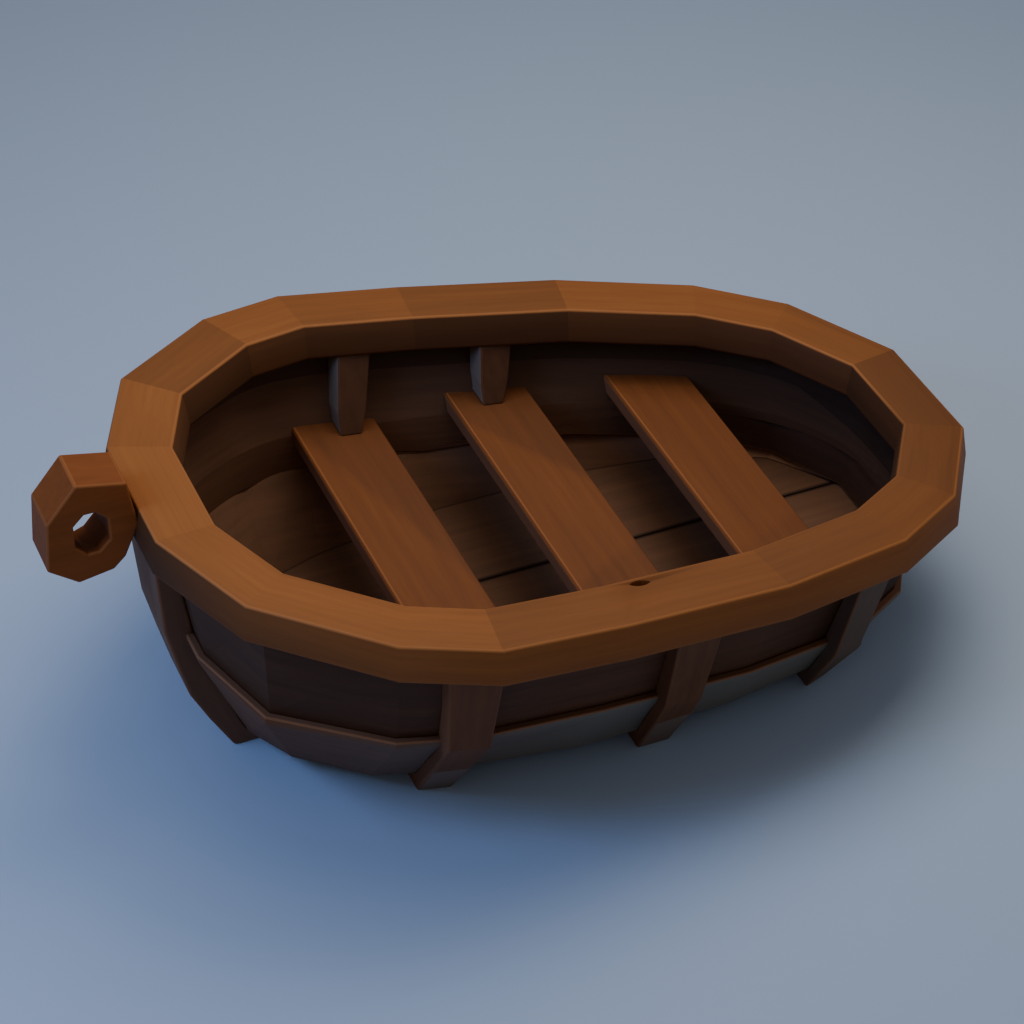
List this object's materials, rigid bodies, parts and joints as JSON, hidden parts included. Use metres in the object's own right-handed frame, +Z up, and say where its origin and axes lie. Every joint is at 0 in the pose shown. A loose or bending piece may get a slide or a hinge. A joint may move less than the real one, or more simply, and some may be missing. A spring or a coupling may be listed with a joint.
{
  "type": "rowing boat",
  "caption": "Small stout wooden rowing boat with a thick mitred rail rising to the bow, lapped planking, outside ribs, flat thwarts with knees and a wooden mooring eye.",
  "frame": {"origin": "on the floor under the middle of the rail's length, at the middle of the keel's underside width", "axes": "+X to the bow, +Y to port, +Z up"},
  "size_m": [2.645, 1.6922, 1.0278],
  "materials": {
    "rail_wood": "smooth satin stain, red-brown, edges worn lighter",
    "thwart_wood": "smooth satin stain, red-brown, edges worn lighter",
    "planking_wood": "dull dark brown stain",
    "frame_wood": "dull dark brown stain, edges worn lighter",
    "eye_wood": "smooth satin stain, red-brown, edges worn lighter"
  },
  "bodies": {
    "root": {"bottom_plank_centre": "planking_wood", "bottom_plank_port": "planking_wood", "bottom_plank_starboard": "planking_wood", "keel": "frame_wood", "knee_port_1": "frame_wood", "knee_port_2": "frame_wood", "knee_starboard_1": "frame_wood", "knee_starboard_2": "frame_wood", "lining_port": "planking_wood", "lining_starboard": "planking_wood", "lower_strake_port": "planking_wood", "lower_strake_starboard": "planking_wood", "mooring_eye": "eye_wood", "rail_bow": "rail_wood", "rail_port_1": "rail_wood", "rail_port_2": "rail_wood", "rail_port_3": "rail_wood", "rail_port_4": "rail_wood", "rail_port_5": "rail_wood", "rail_port_6": "rail_wood", "rail_port_7": "rail_wood", "rail_port_8": "rail_wood", "rail_starboard_1": "rail_wood", "rail_starboard_2": "rail_wood", "rail_starboard_3": "rail_wood", "rail_starboard_4": "rail_wood", "rail_starboard_5": "rail_wood", "rail_starboard_6": "rail_wood", "rail_starboard_7": "rail_wood", "rail_starboard_8": "rail_wood", "rail_stern": "rail_wood", "rib_port_1": "frame_wood", "rib_port_2": "frame_wood", "rib_port_3": "frame_wood", "rib_starboard_1": "frame_wood", "rib_starboard_2": "frame_wood", "rib_starboard_3": "frame_wood", "stem": "frame_wood", "sternpost": "frame_wood", "thwart_bow": "thwart_wood", "thwart_middle": "thwart_wood", "thwart_stern": "thwart_wood", "upper_strake_port": "planking_wood", "upper_strake_starboard": "planking_wood"}
  },
  "joints": []
}
